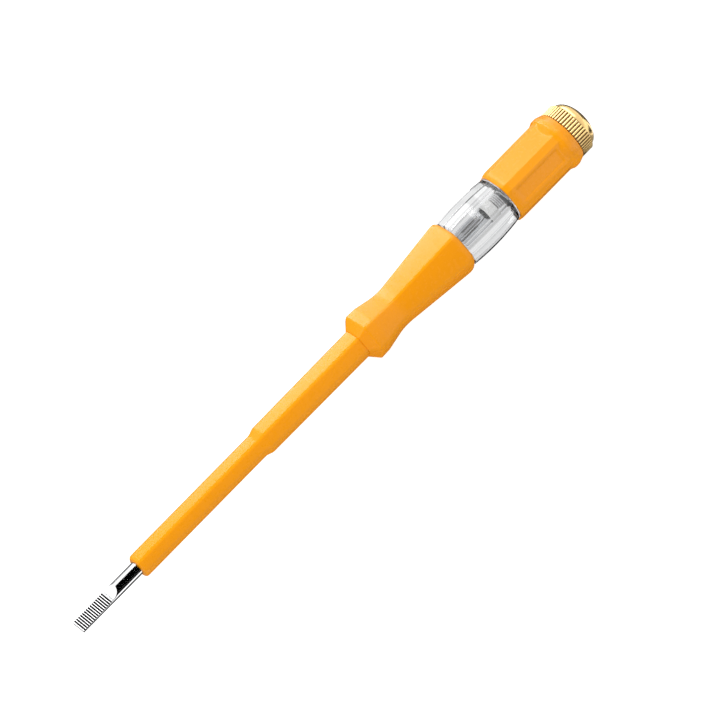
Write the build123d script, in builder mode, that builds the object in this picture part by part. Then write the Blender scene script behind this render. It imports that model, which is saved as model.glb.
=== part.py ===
from build123d import *
import os
from math import cos, radians, sin

os.makedirs("parts", exist_ok=True)

# Neon voltage tester screwdriver, in millimetres. The tool lies along X, blade tip towards -X and
# brass cap towards +X. Names ending in _at are stations: distances from the blade tip along the axis.

# Whole tool
total_length = 190.0
lip_radius = 8.25  # widest round, at the end of the upper grip
axis_height = lip_radius  # the tool lies on its lip

# Blade: a round bar ground to a slotted flat at the tip
shank_diameter = 4.0
blade_tip_thickness = 0.9
blade_root_thickness = 1.3
blade_root_at = 11.2  # the ground flats end here
run_out_radius = 3.4
run_out_sweep = 56.0
first_groove_at = 0.6
groove_pitch = 0.7
groove_count = 15
groove_depth = 0.12
blade_rear_at = 120.0
anchor_grooves_at = (113.0, 116.0)
blade_turn = 16.0  # roll of the blade flats about the tool axis

# Sleeve: insulates the shank
sleeve_front_at = 21.8
thin_across_flats = 6.6
step_front_at = 66.8
step_rear_at = 68.6
thick_across_flats = 7.8
rear_across_flats = 8.15  # the thick length widens a little towards the grip
sleeve_rear_at = 110.0
sleeve_spigot_radius = 3.3
sleeve_chamfer = 0.7

# Lower grip: hexagonal, with collar, neck and flare
collar_front_at = 104.4
collar_full_at = 106.8
collar_rear_at = 109.9
neck_at = 116.9
flare_at = 139.7
lower_rear_at = 141.4
collar_flat = 6.6  # half the width across flats at each station
neck_flat = 5.2
flare_flat = 7.4
corner_share = 1.128  # corner radius of the rounded hexagon as a share of half its flats
nose_flat = 4.25
rim_radius = 7.3
rim_rounding = 2.2
nose_rounding = 0.5
collar_rounding = 4.0
neck_rounding = 9.0

# Window: clear barrel with sixteen facets
window_turn = 4.25  # roll of the window's facets about the tool axis
window_front_flat = 7.1
window_middle_flat = 7.5
window_rear_flat = 6.9
window_rear_at = 158.8
window_facets = 16
spigot_radius = 5.2
lower_socket_at = 131.4
upper_socket_at = 172.1
bore_radius = 2.8

# Upper grip: six wide facets, six narrow ones, and a round lip
upper_turn = 8.0  # roll of the upper grip against the lower one
wide_flat = 7.44
narrow_flat = 7.98
upper_chamfer = 0.8
lip_front_at = 177.4
lip_full_at = 179.3
lip_rear_at = 180.6
lip_rounding = 1.3
upper_rear_at = 182.4
panel_front_at = 161.4
panel_rear_at = 176.8
panel_width = 3.6
panel_depth = 0.2

# Cap: knurled brass, screws into the upper grip
cap_gap = 0.05  # between the grip and the cap's flange
knurl_radius = 7.6
knurl_rear_at = 186.4
knurl_count = 50
knurl_groove_radius = 0.28
dome_base_radius = 6.9
screw_radius = 4.5
screw_clearance = 0.06
screw_front_at = 177.2
spring_pocket_radius = 2.5
spring_pocket_rear_at = 179.2

# Lamp, resistor and spring, stacked in the bore between blade and cap
resistor_radius = 2.0
resistor_ferrule_radius = 2.3
resistor_ferrule_length = 3.4
resistor_rear_at = 138.6
lamp_front_at = resistor_rear_at
lamp_rear_at = 155.4
glass_radius = 2.3
glass_wall = 0.4
ferrule_radius = 2.5
ferrule_base = 0.7
ferrule_length = 3.2
lead_radius = 0.2
electrode_radius = 0.4
electrode_offset = 0.75
electrode_length = 5.6
lead_straight = 2.6  # from the ferrule base to the bend
lead_bend = 1.6
lead_bend_radius = 0.6
spring_wire_radius = 0.3
spring_radius = 2.0  # to the centre of the wire
spring_turns = 13

tip = Vector(-total_length / 2, 0, axis_height)
tool_axis = Axis(tip, (1, 0, 0))
upright = Plane(tip, x_dir=(1, 0, 0), z_dir=(0, -1, 0))  # sketch x is the station, y the radius


def turned(angle):
    """The upright side plane rolled about the tool axis by an angle in degrees."""
    return Plane(tip, x_dir=(1, 0, 0), z_dir=(0, -cos(radians(angle)), -sin(radians(angle))))


def across(station):
    """Plane square to the tool axis at a station: sketch x is the frame's Y, sketch y is up."""
    return Plane(tip + Vector(station, 0, 0), x_dir=(0, 1, 0), z_dir=(1, 0, 0))


def hollow(radius, start, end):
    """Cut a round hole along the tool axis from the part being built."""
    with BuildSketch(across(start)) as disc:
        Circle(radius)
    extrude(disc.sketch, amount=end - start, mode=Mode.SUBTRACT)


def round_bar(radius, start, end):
    """Add a round bar along the tool axis to the part being built."""
    with BuildSketch(across(start)) as disc:
        Circle(radius)
    extrude(disc.sketch, amount=end - start)


def cut_to_facets(outline, facet_count, turn):
    """Keep what lies inside pairs of opposite facets that all follow one side outline."""
    for number in range(facet_count // 2):
        with BuildSketch(turned(turn + number * 360 / facet_count)) as prism:
            add(outline)
        extrude(prism.sketch, amount=2 * lip_radius, both=True, mode=Mode.INTERSECT)


# Blade: bar, anchor grooves for the moulded grip, then the two ground flats and their cross grooves
with BuildPart() as blade:
    round_bar(shank_diameter / 2, 0, blade_rear_at)
    chamfer(blade.faces().sort_by(Axis.X)[-1].edges(), 0.3)
    with BuildSketch(upright):
        with Locations(*[(station, shank_diameter / 2) for station in anchor_grooves_at]):
            Rectangle(1.2, 0.6)
    revolve(axis=tool_axis, mode=Mode.SUBTRACT)
    with BuildSketch(turned(blade_turn)):
        with BuildLine():
            flat_line = Line((0, blade_tip_thickness / 2), (blade_root_at, blade_root_thickness / 2))
            run_out = JernArc(flat_line @ 1, flat_line % 1, run_out_radius, run_out_sweep)
            Polyline(run_out @ 1, (blade_root_at, shank_diameter), (0, shank_diameter), flat_line @ 0)
        make_face()
        half_slope = (blade_root_thickness - blade_tip_thickness) / 2 / blade_root_at
        for number in range(groove_count):
            groove_at = first_groove_at + number * groove_pitch
            with Locations((groove_at, blade_tip_thickness / 2 + half_slope * groove_at)):
                Circle(groove_depth)
        mirror(about=Plane.XZ)
    extrude(amount=shank_diameter, both=True, mode=Mode.SUBTRACT)
blade.part.label = "blade"
export_step(blade.part, "parts/blade.step")

# Sleeve: two hexagonal lengths joined by a cone, with a round spigot into the lower grip
with BuildSketch() as sleeve_outline:
    with BuildLine():
        Polyline(
            (sleeve_front_at, 0),
            (sleeve_front_at, thin_across_flats / 2),
            (step_front_at, thin_across_flats / 2),
            (step_rear_at, thick_across_flats / 2),
            (collar_front_at, rear_across_flats / 2),
            (sleeve_rear_at, rear_across_flats / 2),
            (sleeve_rear_at, 0),
            close=True,
        )
    make_face()
    mirror(about=Plane.XZ)

with BuildPart() as shank_sleeve:
    with BuildSketch(upright):
        with BuildLine():
            thin_corner = thin_across_flats / 2 * corner_share
            thick_corner = thick_across_flats / 2 * corner_share
            rear_corner = rear_across_flats / 2 * corner_share
            Polyline(
                (sleeve_front_at, 0),
                (sleeve_front_at, thin_corner - sleeve_chamfer),
                (sleeve_front_at + sleeve_chamfer, thin_corner),
                (step_front_at, thin_corner),
                (step_rear_at, thick_corner),
                (collar_front_at, rear_corner),
                (collar_front_at, sleeve_spigot_radius),
                (sleeve_rear_at, sleeve_spigot_radius),
                (sleeve_rear_at, 0),
                close=True,
            )
        make_face()
    revolve(axis=tool_axis)
    cut_to_facets(sleeve_outline.sketch, 6, 0)
    hollow(shank_diameter / 2, sleeve_front_at, sleeve_rear_at)
shank_sleeve.part.label = "shank_sleeve"
export_step(shank_sleeve.part, "parts/shank_sleeve.step")


def lower_grip_line(share):
    """Nose, collar, neck and flare of the lower grip, with the half flats multiplied by a share."""
    return FilletPolyline(
        (collar_front_at, share * nose_flat),
        (collar_full_at, share * collar_flat),
        (collar_rear_at, share * collar_flat),
        (neck_at, share * neck_flat),
        (flare_at, share * flare_flat),
        radius=[nose_rounding, collar_rounding, neck_rounding],
    )


# Lower grip: turned shape with a cone nose and a rounded rim, cut to six facets
with BuildSketch() as lower_outline:
    with BuildLine():
        flat_line = lower_grip_line(1)
        Polyline(
            flat_line @ 1,
            (lower_rear_at, flare_flat),
            (lower_rear_at, 0),
            (collar_front_at, 0),
            flat_line @ 0,
        )
    make_face()
    mirror(about=Plane.XZ)

with BuildPart() as lower_grip:
    with BuildSketch(upright):
        with BuildLine():
            corner_line = lower_grip_line(corner_share)
            rim = RadiusArc(corner_line @ 1, (lower_rear_at, rim_radius), -rim_rounding)
            Polyline(
                rim @ 1,
                (lower_rear_at, 0),
                (collar_front_at, 0),
                corner_line @ 0,
            )
        make_face()
    revolve(axis=tool_axis)
    cut_to_facets(lower_outline.sketch, 6, 0)
    hollow(sleeve_spigot_radius, collar_front_at, sleeve_rear_at)
    hollow(shank_diameter / 2, sleeve_rear_at, blade_rear_at)
    hollow(bore_radius, blade_rear_at, lower_socket_at)
    hollow(spigot_radius, lower_socket_at, lower_rear_at)
lower_grip.part.label = "lower_grip"
export_step(lower_grip.part, "parts/lower_grip.step")

# Window: sixteen bowed facets between the grips, and a spigot into each
with BuildSketch() as window_outline:
    with BuildLine():
        window_middle_at = (lower_rear_at + window_rear_at) / 2 - 1
        bow = ThreePointArc(
            (lower_rear_at, window_front_flat),
            (window_middle_at, window_middle_flat),
            (window_rear_at, window_rear_flat),
        )
        Polyline(bow @ 1, (window_rear_at, 0), (lower_rear_at, 0), bow @ 0)
    make_face()
    mirror(about=Plane.XZ)

with BuildPart() as window_tube:
    round_bar(lip_radius, lower_rear_at, window_rear_at)
    cut_to_facets(window_outline.sketch, window_facets, window_turn)
    round_bar(spigot_radius, lower_socket_at, upper_socket_at)
    hollow(bore_radius, lower_socket_at, upper_socket_at)
window_tube.part.label = "window_tube"
export_step(window_tube.part, "parts/window_tube.step")

# Upper grip: wide and narrow facets with a chamfered front, then the round lip and a shallow panel
with BuildSketch() as wide_outline:
    with Locations(((window_rear_at + upper_rear_at) / 2, 0)):
        Rectangle(upper_rear_at - window_rear_at, 2 * wide_flat)

with BuildSketch() as narrow_outline:
    with Locations(((window_rear_at + upper_rear_at) / 2, 0)):
        Rectangle(upper_rear_at - window_rear_at, 2 * narrow_flat)

with BuildPart() as upper_grip:
    round_bar(lip_radius, window_rear_at, upper_rear_at)
    chamfer(upper_grip.faces().sort_by(Axis.X)[0].edges(), upper_chamfer)
    cut_to_facets(wide_outline.sketch, 6, upper_turn)
    cut_to_facets(narrow_outline.sketch, 6, upper_turn + 30)
    with BuildSketch(upright):
        with BuildLine():
            lip = FilletPolyline(
                (lip_front_at, wide_flat),
                (lip_full_at, lip_radius),
                (lip_rear_at, lip_radius),
                (upper_rear_at, knurl_radius),
                radius=lip_rounding,
            )
            Polyline(lip @ 1, (upper_rear_at, 0), (lip_front_at, 0), lip @ 0)
        make_face()
    revolve(axis=tool_axis)
    with BuildSketch(turned(upper_turn + 60)):
        with Locations(((panel_front_at + panel_rear_at) / 2, wide_flat)):
            Rectangle(panel_rear_at - panel_front_at, 2 * panel_depth)
    extrude(amount=panel_width / 2, both=True, mode=Mode.SUBTRACT)
    hollow(spigot_radius, window_rear_at, upper_socket_at)
    hollow(screw_radius + screw_clearance, upper_socket_at, upper_rear_at)
upper_grip.part.label = "upper_grip"
export_step(upper_grip.part, "parts/upper_grip.step")

# Cap: domed brass head with a knurled band, and a hollow screw that carries the spring
with BuildPart() as end_cap:
    with BuildSketch(upright):
        with BuildLine():
            dome = EllipticalCenterArc(
                (knurl_rear_at, 0),
                total_length - knurl_rear_at,
                dome_base_radius,
                start_angle=0,
                arc_size=90,
            )
            Polyline(
                dome @ 1,
                (knurl_rear_at, knurl_radius - 0.35),
                (knurl_rear_at - 0.35, knurl_radius),
                (upper_rear_at + cap_gap, knurl_radius),
                (upper_rear_at + cap_gap, screw_radius),
                (screw_front_at + 0.4, screw_radius),
                (screw_front_at, screw_radius - 0.4),
                (screw_front_at, spring_pocket_radius),
                (spring_pocket_rear_at, spring_pocket_radius),
                (spring_pocket_rear_at, 0),
                dome @ 0,
            )
        make_face()
    revolve(axis=tool_axis)
    with BuildSketch(across(upper_rear_at + cap_gap)):
        with PolarLocations(knurl_radius, knurl_count):
            Circle(knurl_groove_radius)
    extrude(amount=knurl_rear_at - upper_rear_at, mode=Mode.SUBTRACT)
end_cap.part.label = "end_cap"
export_step(end_cap.part, "parts/end_cap.step")

# Spring: presses the lamp and the resistor against the blade
with BuildPart() as cap_spring:
    with BuildLine():
        spring_front_at = lamp_rear_at + spring_wire_radius
        spring_length = spring_pocket_rear_at - spring_wire_radius - spring_front_at
        coil = Helix(
            pitch=spring_length / spring_turns,
            height=spring_length,
            radius=spring_radius,
            center=tip + Vector(spring_front_at, 0, 0),
            direction=(1, 0, 0),
        )
    with BuildSketch(Plane(coil @ 0, z_dir=coil % 0)):
        Circle(spring_wire_radius)
    sweep(is_frenet=True)
cap_spring.part.label = "cap_spring"
export_step(cap_spring.part, "parts/cap_spring.step")


def ferrule(inner, outer, base, length, start, facing):
    """Metal end cap: a disc with a skirt. Facing is 1 for a skirt towards the rear, -1 for the front."""
    with BuildPart() as cup:
        with BuildSketch(across(start)) as disc:
            Circle(outer)
        extrude(disc.sketch, amount=facing * length)
        with BuildSketch(across(start + facing * base)) as inside:
            Circle(inner)
        extrude(inside.sketch, amount=facing * (length - base), mode=Mode.SUBTRACT)
    return cup.part


# Resistor: a coated rod with a pressed cap at each end
with BuildPart() as resistor_rod:
    round_bar(resistor_radius, blade_rear_at + ferrule_base, resistor_rear_at - ferrule_base)
resistor_rod.part.label = "resistor_rod"
export_step(resistor_rod.part, "parts/resistor_rod.step")

for name, start, facing in (("front", blade_rear_at, 1), ("rear", resistor_rear_at, -1)):
    cap = ferrule(
        resistor_radius,
        resistor_ferrule_radius,
        ferrule_base,
        resistor_ferrule_length,
        start,
        facing,
    )
    cap.label = "resistor_ferrule_" + name
    export_step(cap, f"parts/{cap.label}.step")

# Lamp glass: closed shell with rounded ends, pierced on the axis for the two leads
with BuildPart() as lamp_glass:
    glass_front_at = lamp_front_at + ferrule_base
    glass_length = lamp_rear_at - ferrule_base - glass_front_at
    round_bar(glass_radius, glass_front_at, glass_front_at + glass_length)
    fillet(lamp_glass.edges(), 0.8 * glass_radius)
    offset(amount=-glass_wall, kind=Kind.INTERSECTION, mode=Mode.SUBTRACT)
    hollow(lead_radius, glass_front_at, glass_front_at + glass_length)
lamp_glass.part.label = "lamp_glass"
export_step(lamp_glass.part, "parts/lamp_glass.step")

# Lamp ends: each has a ferrule, a lead that bends off the axis and an electrode on the lead
for name, start, facing in (("front", lamp_front_at, 1), ("rear", lamp_rear_at, -1)):
    skirt = ferrule(glass_radius, ferrule_radius, ferrule_base, ferrule_length, start, facing)
    skirt.label = "lamp_ferrule_" + name
    export_step(skirt, f"parts/{skirt.label}.step")

    base_at = start + facing * ferrule_base
    bend_at = base_at + facing * lead_straight
    electrode_at = bend_at + facing * 2 * lead_bend
    with BuildPart() as lead:
        with BuildLine(turned(-90)) as wire:
            FilletPolyline(
                (base_at, 0),
                (bend_at, 0),
                (bend_at + facing * lead_bend, facing * electrode_offset),
                (electrode_at, facing * electrode_offset),
                radius=lead_bend_radius,
            )
        with BuildSketch(Plane(wire.line @ 0, z_dir=(facing, 0, 0))):
            Circle(lead_radius)
        sweep()
    lead.part.label = "lamp_lead_" + name
    export_step(lead.part, f"parts/{lead.part.label}.step")

    with BuildPart() as electrode:
        with BuildSketch(across(electrode_at)):
            with Locations((facing * electrode_offset, 0)):
                Circle(electrode_radius)
        extrude(amount=facing * electrode_length)
        chamfer(electrode.edges(), 0.15)
    electrode.part.label = "lamp_electrode_" + name
    export_step(electrode.part, f"parts/{electrode.part.label}.step")
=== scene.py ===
import math

import bpy
import numpy as np
from mathutils import Matrix, Vector


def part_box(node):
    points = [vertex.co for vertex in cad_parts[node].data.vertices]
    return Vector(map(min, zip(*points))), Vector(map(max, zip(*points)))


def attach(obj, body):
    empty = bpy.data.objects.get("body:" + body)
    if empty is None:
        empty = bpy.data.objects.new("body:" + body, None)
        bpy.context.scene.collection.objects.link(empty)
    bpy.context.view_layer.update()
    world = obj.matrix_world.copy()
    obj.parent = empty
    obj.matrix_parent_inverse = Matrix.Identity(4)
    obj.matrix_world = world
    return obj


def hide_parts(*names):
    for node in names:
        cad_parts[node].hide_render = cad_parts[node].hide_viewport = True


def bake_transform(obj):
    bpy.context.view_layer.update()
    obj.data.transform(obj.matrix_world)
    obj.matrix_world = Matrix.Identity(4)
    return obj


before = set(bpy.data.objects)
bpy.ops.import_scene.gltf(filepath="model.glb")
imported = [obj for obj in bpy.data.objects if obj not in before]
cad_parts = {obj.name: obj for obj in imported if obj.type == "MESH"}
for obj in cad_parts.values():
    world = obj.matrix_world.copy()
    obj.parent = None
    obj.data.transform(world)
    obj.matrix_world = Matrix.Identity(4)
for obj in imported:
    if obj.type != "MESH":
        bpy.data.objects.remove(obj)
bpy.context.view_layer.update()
print("frame loaded:", len(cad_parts), "CAD nodes")

# Shapes are worked out in millimetres: a station is the distance from the blade tip along the tool's
# axis, a radius is the distance from that axis, and an angle turns from +Y towards +Z.
mm = 0.001
capLow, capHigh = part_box("end_cap")
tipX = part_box("blade")[0].x
axisZ = (capLow.z + capHigh.z) / 2
fullTurn = 2 * math.pi
seam = 0.02  # pieces that meet end to end, or one inside the other, stay this far apart


def nodeSpan(node):  # stations where a CAD node starts and ends
    low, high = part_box(node)
    return (low.x - tipX) / mm, (high.x - tipX) / mm


bladeRear = nodeSpan("blade")[1]
sleeveFront, sleeveRear = nodeSpan("shank_sleeve")
lowerFront, lowerRear = nodeSpan("lower_grip")
tubeFront, tubeRear = nodeSpan("window_tube")
upperFront, upperRear = nodeSpan("upper_grip")
screwFront, capEnd = nodeSpan("end_cap")
springFront, springRear = nodeSpan("cap_spring")


# A grid of stations and radii becomes points: x runs along the axis, y and z are the radius times
# the cosine and sine of the angle.
def roundAxis(station, radius, angle):
    station, radius, angle = np.broadcast_arrays(station, radius, angle)
    across = radius * np.cos(angle) * mm
    upward = radius * np.sin(angle) * mm + axisZ
    return np.stack([tipX + station * mm, across, upward], axis=-1)


def addObject(name, data):
    made = bpy.data.objects.new(name, data)
    bpy.context.scene.collection.objects.link(made)
    return made


# Neighbouring rings and spokes are joined by four-sided faces. The grid closes on itself from spoke
# to spoke, and from last ring to first if it loops; otherwise a fan to a pole closes each end.
def skinPiece(name, grid, loops=False, marks=None):
    rings, spokes = grid.shape[:2]
    ring = np.arange(rings if loops else rings - 1)[:, None]
    spoke = np.arange(spokes)[None, :]
    here, there = ring * spokes, (ring + 1) % rings * spokes
    after = (spoke + 1) % spokes
    quads = np.stack([here + spoke, here + after, there + after, there + spoke], axis=-1)
    faces = quads.reshape(-1, 4).tolist()
    points = grid.reshape(-1, 3)
    if not loops:
        first = np.arange(spokes)
        last = first + (rings - 1) * spokes
        frontPole = np.full(spokes, rings * spokes)
        points = np.vstack([points, grid[0].mean(0), grid[-1].mean(0)])
        faces += np.stack([frontPole, np.roll(first, -1), first], axis=-1).tolist()
        faces += np.stack([last, np.roll(last, -1), frontPole + 1], axis=-1).tolist()
    mesh = bpy.data.meshes.new(name)
    mesh.from_pydata(points.tolist(), [], faces)
    mesh.polygons.foreach_set("use_smooth", np.ones(len(faces), bool))
    for label, values in (marks or {}).items():
        spread = np.zeros(len(points), np.float32)
        spread[: rings * spokes] = np.broadcast_to(values, (rings, spokes)).ravel()
        mesh.attributes.new(label, "FLOAT", "POINT").data.foreach_set("value", spread)
    mesh.update()
    return addObject(name, mesh)


# A piece takes a finish, rides on its body and stands for CAD nodes.
def settle(piece, body, slotName, finish, *nodes):
    piece.data.materials.append(finish)
    if body:
        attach(piece, body)
    if nodes:
        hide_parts(*nodes)
    return piece


# Straight runs through (station, radius, rounding) corners. Each corner is an arc that leaves its run
# at rounding * tan(half the turn) before the corner. A run gets points every spacing, and one close
# to each end, which keeps its shading flat.
def roundedPath(corners, spacing=1.0, arcSteps=6, hold=0.12):
    corners = np.array(corners, float)
    spots, roundings = corners[:, :2], corners[:, 2]
    heading = np.diff(spots, axis=0)
    heading /= np.linalg.norm(heading, axis=1)[:, None]
    path = [spots[:1]]
    for k in range(1, len(spots)):
        into = heading[k - 1]
        arc = spots[k : k + 1]
        if k < len(spots) - 1 and roundings[k] > 0:
            outOf = heading[k]
            turn = math.atan2(into[0] * outOf[1] - into[1] * outOf[0], into @ outOf)
            start = spots[k] - roundings[k] * math.tan(abs(turn) / 2) * into
            side = math.copysign(1, turn) * np.array([-into[1], into[0]])
            sweep = np.linspace(0, abs(turn), arcSteps + 1)[:, None]
            arc = start + roundings[k] * (np.sin(sweep) * into + (1 - np.cos(sweep)) * side)
        begin = path[-1][-1]
        length = float(np.linalg.norm(arc[0] - begin))
        steps = np.linspace(0, length, max(1, math.ceil(length / spacing)) + 1)[1:-1]
        if length > 4 * hold:
            steps = np.unique(np.concatenate([[hold], steps, [length - hold]]))
        path.append(begin + np.outer(steps / max(length, 1e-9), arc[0] - begin))
        path.append(arc)
    return np.vstack(path)


# Spokes crowd towards the corners of a faceted piece: between two corners they follow half a cosine.
def spokeAngles(corners, perGap, extra=()):
    corners = np.sort(np.array(corners) % fullTurn)
    gaps = np.diff(np.append(corners, corners[0] + fullTurn))
    share = 0.5 - 0.5 * np.cos(np.pi * np.arange(perGap) / perGap)
    angles = (corners[:, None] + gaps[:, None] * share).ravel()
    angles = np.concatenate([angles, np.array(extra, float)]) % fullTurn
    return np.unique(np.round(angles, 6))


# Distance from the axis to a regular polygon whose corners are arcs: flat / cos(angle off the facet)
# on a facet, and the far side of the corner's circle elsewhere. A crown lifts the facet's middle.
def facetRadius(flat, angle, count, turn, rounding, crown=0.0):
    half = math.pi / count
    flat = flat - crown
    off = (angle - turn + half) % (2 * half) - half
    fromCorner = half - np.abs(off)
    centre = (flat - rounding) / math.cos(half)
    touch = half - np.arctan2((flat - rounding) * math.tan(half), flat)
    inside = np.maximum(rounding**2 - (centre * np.sin(fromCorner)) ** 2, 0)
    arc = centre * np.cos(fromCorner) + np.sqrt(inside)
    lift = crown * (1 - (np.tan(off) / math.tan(half)) ** 2)
    return np.where(fromCorner < touch, arc, flat / np.cos(off)) + lift


# The smaller or larger of two lengths with the crease rounded: a mean of a very high power.
def softMin(a, b, power):
    return (a**-power + b**-power) ** (-1 / power)


def softMax(a, b, power):
    return (a**power + b**power) ** (1 / power)


def smoothStep(low, high, value):
    share = np.clip((value - low) / (high - low), 0, 1)
    return share * share * (3 - 2 * share)


# How close a spoke is to a facet's corner, from 0 on the facet to 1 on the corner.
def cornerMark(angle, corners, width):
    off = (angle[:, None] - np.array(corners)[None, :] + math.pi) % fullTurn - math.pi
    return np.exp(-((np.abs(off).min(axis=1) / math.radians(width)) ** 2))


def addNode(tree, kind, **settings):
    node = tree.nodes.new(kind)
    for label, value in settings.items():
        setattr(node, label, value)
    return node


def join(tree, value, socket):  # a socket takes a link from another socket, or a plain value
    if isinstance(value, bpy.types.NodeSocket):
        tree.links.new(value, socket)
    elif value is not None:
        socket.default_value = value


def noiseNode(tree, place, scale, detail=2.0, rough=0.5):
    noise = addNode(tree, "ShaderNodeTexNoise")
    for label, value in (("Vector", place), ("Scale", scale), ("Detail", detail), ("Roughness", rough)):
        join(tree, value, noise.inputs[label])
    return noise.outputs["Fac"]


def mathNode(tree, operation, first, second=None, clamp=False):
    node = addNode(tree, "ShaderNodeMath", operation=operation, use_clamp=clamp)
    join(tree, first, node.inputs[0])
    join(tree, second, node.inputs[1])
    return node.outputs[0]


def spanNode(tree, value, fromLow, fromHigh, toLow, toHigh):
    node = addNode(tree, "ShaderNodeMapRange")
    labels = ("Value", "From Min", "From Max", "To Min", "To Max")
    for label, bound in zip(labels, (value, fromLow, fromHigh, toLow, toHigh)):
        join(tree, bound, node.inputs[label])
    return node.outputs["Result"]


def mixColour(tree, share, first, second):
    node = addNode(tree, "ShaderNodeMix", data_type="RGBA")
    factor, low, high = [s for s in node.inputs if s.enabled]
    for value, socket in ((share, factor), (first, low), (second, high)):
        join(tree, value, socket)
    return [s for s in node.outputs if s.enabled][0]


def newGroup(name, inputs, outputs):
    group = bpy.data.node_groups.new(name, "ShaderNodeTree")
    for label, kind, value in inputs:
        socket = group.interface.new_socket(label, in_out="INPUT", socket_type=kind)
        if value is not None:
            socket.default_value = value
    for label, kind in outputs:
        group.interface.new_socket(label, in_out="OUTPUT", socket_type=kind)
    return group, group.nodes.new("NodeGroupInput").outputs, group.nodes.new("NodeGroupOutput").inputs


# Moulded plastic: the colour drifts slowly through the shot and speckles finely, and the skin is a
# faint orange peel. Corners are rubbed a little lighter and smoother.
# Where the Socket mark says, the colour is mixed to grey: painted shadow for the dark inside of the socket.
def mouldedSkinGroup():
    group, given, made = newGroup(
        "mouldedSkin",
        [
            ("Place", "NodeSocketVector", None),
            ("Shade", "NodeSocketColor", None),
            ("Deep shade", "NodeSocketColor", None),
            ("Rubbed shade", "NodeSocketColor", None),
            ("Drift", "NodeSocketFloat", 0.3),
            ("Roughness", "NodeSocketFloat", 0.4),
            ("Rub", "NodeSocketFloat", 0.0),
            ("Socket", "NodeSocketFloat", 0.0),
            ("Socket painted shadow", "NodeSocketColor", (0.42, 0.42, 0.43, 1)),
        ],
        [("Colour", "NodeSocketColor"), ("Roughness", "NodeSocketFloat"), ("Height", "NodeSocketFloat")],
    )
    slow = noiseNode(group, given["Place"], 55.0, 2.0)
    fine = noiseNode(group, given["Place"], 2600.0, 3.0)
    peel = noiseNode(group, given["Place"], 900.0, 2.0)
    blotch = mathNode(group, "MULTIPLY", slow, 0.7)
    blotch = mathNode(group, "ADD", blotch, mathNode(group, "MULTIPLY", fine, 0.3))
    share = spanNode(group, blotch, 0.3, 0.7, 0.0, given["Drift"])
    body = mixColour(group, share, given["Shade"], given["Deep shade"])
    rubbed = mathNode(group, "MULTIPLY", given["Rub"], spanNode(group, peel, 0.3, 0.7, 0.25, 0.55))
    outside = mixColour(group, rubbed, body, given["Rubbed shade"])
    join(group, mixColour(group, given["Socket"], outside, given["Socket painted shadow"]), made["Colour"])
    wobble = spanNode(group, peel, 0.3, 0.7, -0.04, 0.05)
    polished = mathNode(group, "MULTIPLY", rubbed, -0.12)
    skin = mathNode(group, "ADD", given["Roughness"], mathNode(group, "ADD", wobble, polished))
    join(group, skin, made["Roughness"])
    height = mathNode(group, "MULTIPLY", peel, 0.8)
    height = mathNode(group, "ADD", height, mathNode(group, "MULTIPLY", fine, 0.2))
    join(group, height, made["Height"])
    return group


# Worked metal: fine streaks drawn out along one direction by the Stretch vector, cloudy tarnish, and
# painted shade, a darker and rougher colour, where the piece's own mark says.
def workedMetalGroup():
    group, given, made = newGroup(
        "workedMetal",
        [
            ("Place", "NodeSocketVector", None),
            ("Stretch", "NodeSocketVector", (1.0, 1.0, 1.0)),
            ("Bright", "NodeSocketColor", None),
            ("Tarnish", "NodeSocketColor", None),
            ("Grime", "NodeSocketColor", None),
            ("Tarnish share", "NodeSocketFloat", 0.3),
            ("Roughness", "NodeSocketFloat", 0.15),
            ("Streaks", "NodeSocketFloat", 0.06),
            ("Grime mask", "NodeSocketFloat", 0.0),
        ],
        [("Colour", "NodeSocketColor"), ("Roughness", "NodeSocketFloat"), ("Height", "NodeSocketFloat")],
    )
    drawn = addNode(group, "ShaderNodeVectorMath", operation="MULTIPLY")
    join(group, given["Place"], drawn.inputs[0])
    join(group, given["Stretch"], drawn.inputs[1])
    streak = noiseNode(group, drawn.outputs[0], 1.0, 3.0, 0.6)
    cloud = noiseNode(group, given["Place"], 420.0, 4.0, 0.6)
    tarnished = spanNode(group, cloud, 0.42, 0.72, 0.0, given["Tarnish share"])
    metal = mixColour(group, tarnished, given["Bright"], given["Tarnish"])
    join(group, mixColour(group, given["Grime mask"], metal, given["Grime"]), made["Colour"])
    worn = spanNode(group, streak, 0.3, 0.7, 0.0, given["Streaks"])
    dull = mathNode(group, "ADD", mathNode(group, "MULTIPLY", tarnished, 0.25), worn)
    dull = mathNode(group, "ADD", dull, mathNode(group, "MULTIPLY", given["Grime mask"], 0.35))
    join(group, mathNode(group, "ADD", given["Roughness"], dull), made["Roughness"])
    join(group, streak, made["Height"])
    return group


# Clear material: smears and fine moulding lines show only as slight changes of roughness.
def clearSkinGroup():
    group, given, made = newGroup(
        "clearSkin",
        [
            ("Place", "NodeSocketVector", None),
            ("Shade", "NodeSocketColor", None),
            ("Smeared shade", "NodeSocketColor", None),
            ("Roughness", "NodeSocketFloat", 0.02),
            ("Smear", "NodeSocketFloat", 0.03),
        ],
        [("Colour", "NodeSocketColor"), ("Roughness", "NodeSocketFloat"), ("Height", "NodeSocketFloat")],
    )
    smear = noiseNode(group, given["Place"], 260.0, 3.0)
    ripple = noiseNode(group, given["Place"], 600.0, 1.0)
    share = spanNode(group, smear, 0.45, 0.75, 0.0, 1.0)
    join(group, mixColour(group, share, given["Shade"], given["Smeared shade"]), made["Colour"])
    smeared = mathNode(group, "MULTIPLY", share, given["Smear"])
    join(group, mathNode(group, "ADD", given["Roughness"], smeared), made["Roughness"])
    join(group, ripple, made["Height"])
    return group


mouldedSkin = mouldedSkinGroup()
workedMetal = workedMetalGroup()
clearSkin = clearSkinGroup()


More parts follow.
